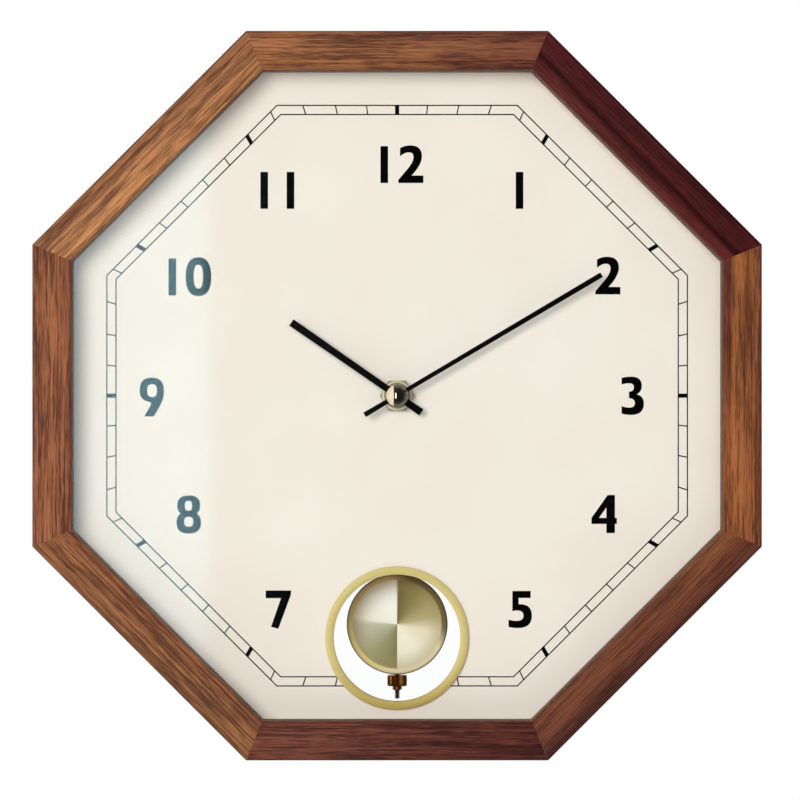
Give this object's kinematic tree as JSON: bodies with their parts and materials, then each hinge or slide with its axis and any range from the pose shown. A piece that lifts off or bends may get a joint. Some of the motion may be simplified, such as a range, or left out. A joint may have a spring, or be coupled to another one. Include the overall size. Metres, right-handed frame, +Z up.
{
  "type": "wall clock",
  "caption": "Octagonal hardwood wall clock with a cream dial, straight black hands and a spun brass pendulum bob behind a round window",
  "frame": {"origin": "the axis of the wall screw, in the plane of the wall, where the keyhole of the hanger plate comes to rest on it", "axes": "+X to the right seen from the front, +Y into the wall, +Z up; the dial faces -Y"},
  "size_m": [0.3, 0.055, 0.3],
  "materials": {
    "walnut_top": "satin oiled hardwood",
    "walnut_top_right": "satin oiled hardwood",
    "walnut_right": "satin oiled hardwood",
    "walnut_bottom_right": "satin oiled hardwood",
    "walnut_bottom": "satin oiled hardwood",
    "walnut_bottom_left": "satin oiled hardwood",
    "walnut_left": "satin oiled hardwood",
    "walnut_top_left": "satin oiled hardwood",
    "lining": "stained strip wood",
    "glass": "clear flat glass",
    "cream_paper": "matt printed sheet",
    "hardboard": "plain hardboard",
    "gilt_brass": "satin gilt",
    "brass": "bright turned brass",
    "spun_brass": "spun and lacquered",
    "polished_cap": "polished",
    "black_paint": "satin black",
    "zinc_steel": "zinc plated",
    "black_moulding": "moulded",
    "white_acetal": "moulded",
    "copper_wire": "enamelled winding",
    "circuit_laminate": "solder mask",
    "magnet": "sintered",
    "battery_label": "printed sleeve",
    "cast_zinc": "as cast",
    "black_rubber": "plain"
  },
  "bodies": {
    "case": {"rail_top": "walnut_top", "rail_top_right": "walnut_top_right", "rail_right": "walnut_right", "rail_bottom_right": "walnut_bottom_right", "rail_bottom": "walnut_bottom", "rail_bottom_left": "walnut_bottom_left", "rail_left": "walnut_left", "rail_top_left": "walnut_top_left", "glazing_ring": "lining", "glass_pane": "glass", "dial_sheet": "cream_paper", "dial_board": "hardboard", "window_ring": "gilt_brass", "dial_clip_top_right": "zinc_steel", "dial_clip_bottom_right": "zinc_steel", "dial_clip_bottom_left": "zinc_steel", "dial_clip_top_left": "zinc_steel", "clip_screw_top_right": "zinc_steel", "clip_screw_bottom_right": "zinc_steel", "clip_screw_bottom_left": "zinc_steel", "clip_screw_top_left": "zinc_steel", "hanger_plate": "zinc_steel", "hanger_screw_left": "zinc_steel", "hanger_screw_right": "zinc_steel", "threaded_bush": "brass", "shaft_washer": "black_rubber", "shaft_nut": "brass", "movement_case": "black_moulding", "rear_cover": "black_moulding", "train_plate": "white_acetal", "battery": "battery_label", "battery_contact_positive": "zinc_steel", "battery_contact_negative": "zinc_steel", "circuit_board": "circuit_laminate", "quartz_crystal": "zinc_steel", "motor_coil": "copper_wire", "coil_core": "zinc_steel", "stator": "zinc_steel", "pendulum_housing": "black_moulding", "pivot_pin": "zinc_steel", "drive_coil": "copper_wire"},
    "minute": {"minute_hand": "black_paint", "hand_cap": "polished_cap", "centre_wheel": "brass"},
    "hour": {"hour_hand": "black_paint", "hour_wheel": "white_acetal"},
    "motion_work": {"minute_wheel": "white_acetal", "setting_knob": "black_moulding"},
    "third": {"third_wheel": "white_acetal"},
    "seconds": {"seconds_wheel": "white_acetal"},
    "fifth": {"fifth_wheel": "white_acetal"},
    "rotor": {"rotor": "magnet"},
    "pendulum": {"pendulum_hanger": "black_moulding", "drive_magnet": "magnet", "pendulum_rod": "zinc_steel"},
    "bob": {"bob_face": "spun_brass", "bob_weight": "cast_zinc"},
    "rating_nut": {"rating_nut": "brass"}
  },
  "joints": [
    {"name": "minute_hand_joint", "type": "hinge", "parent": "case", "child": "minute", "pos_m": [0, -0.025, -0.133], "axis": [0, 1, 0], "continuous": true},
    {"name": "hour_hand_joint", "type": "hinge", "parent": "case", "child": "hour", "pos_m": [0, -0.025, -0.133], "axis": [0, 1, 0], "continuous": true},
    {"name": "motion_work_joint", "type": "hinge", "parent": "case", "child": "motion_work", "pos_m": [0.00865, -0.025, -0.133], "axis": [0, 1, 0], "continuous": true},
    {"name": "third_wheel_joint", "type": "hinge", "parent": "case", "child": "third", "pos_m": [-0.00748, -0.025, -0.133], "axis": [0, 1, 0], "continuous": true},
    {"name": "seconds_wheel_joint", "type": "hinge", "parent": "case", "child": "seconds", "pos_m": [0, -0.025, -0.133], "axis": [0, 1, 0], "continuous": true},
    {"name": "fifth_wheel_joint", "type": "hinge", "parent": "case", "child": "fifth", "pos_m": [0.00385, -0.025, -0.12633], "axis": [0, 1, 0], "continuous": true},
    {"name": "rotor_joint", "type": "hinge", "parent": "case", "child": "rotor", "pos_m": [0.00781, -0.025, -0.11947], "axis": [0, 1, 0], "continuous": true},
    {"name": "pendulum_joint", "type": "hinge", "parent": "case", "child": "pendulum", "pos_m": [0, -0.0118, -0.0852], "axis": [0, 1, 0], "range_deg": [-12, 12]},
    {"name": "bob_slide", "type": "slide", "parent": "pendulum", "child": "bob", "axis": [0, 0, 1], "range_m": [-0.003, 0.003]},
    {"name": "rating_nut_joint", "type": "hinge", "parent": "bob", "child": "rating_nut", "pos_m": [0, -0.0103, -0.255], "axis": [0, 0, 1], "range_deg": [-2165, 2165]}
  ],
  "couplings": [
    {"joint": "hour_hand_joint", "follows": "minute_hand_joint", "ratio": 0.083333},
    {"joint": "motion_work_joint", "follows": "minute_hand_joint", "ratio": -0.33333},
    {"joint": "third_wheel_joint", "follows": "minute_hand_joint", "ratio": -8},
    {"joint": "seconds_wheel_joint", "follows": "minute_hand_joint", "ratio": 60},
    {"joint": "fifth_wheel_joint", "follows": "minute_hand_joint", "ratio": -360},
    {"joint": "rotor_joint", "follows": "minute_hand_joint", "ratio": 1800},
    {"joint": "rating_nut_joint", "follows": "bob_slide", "rad_per_m": 12566}
  ]
}
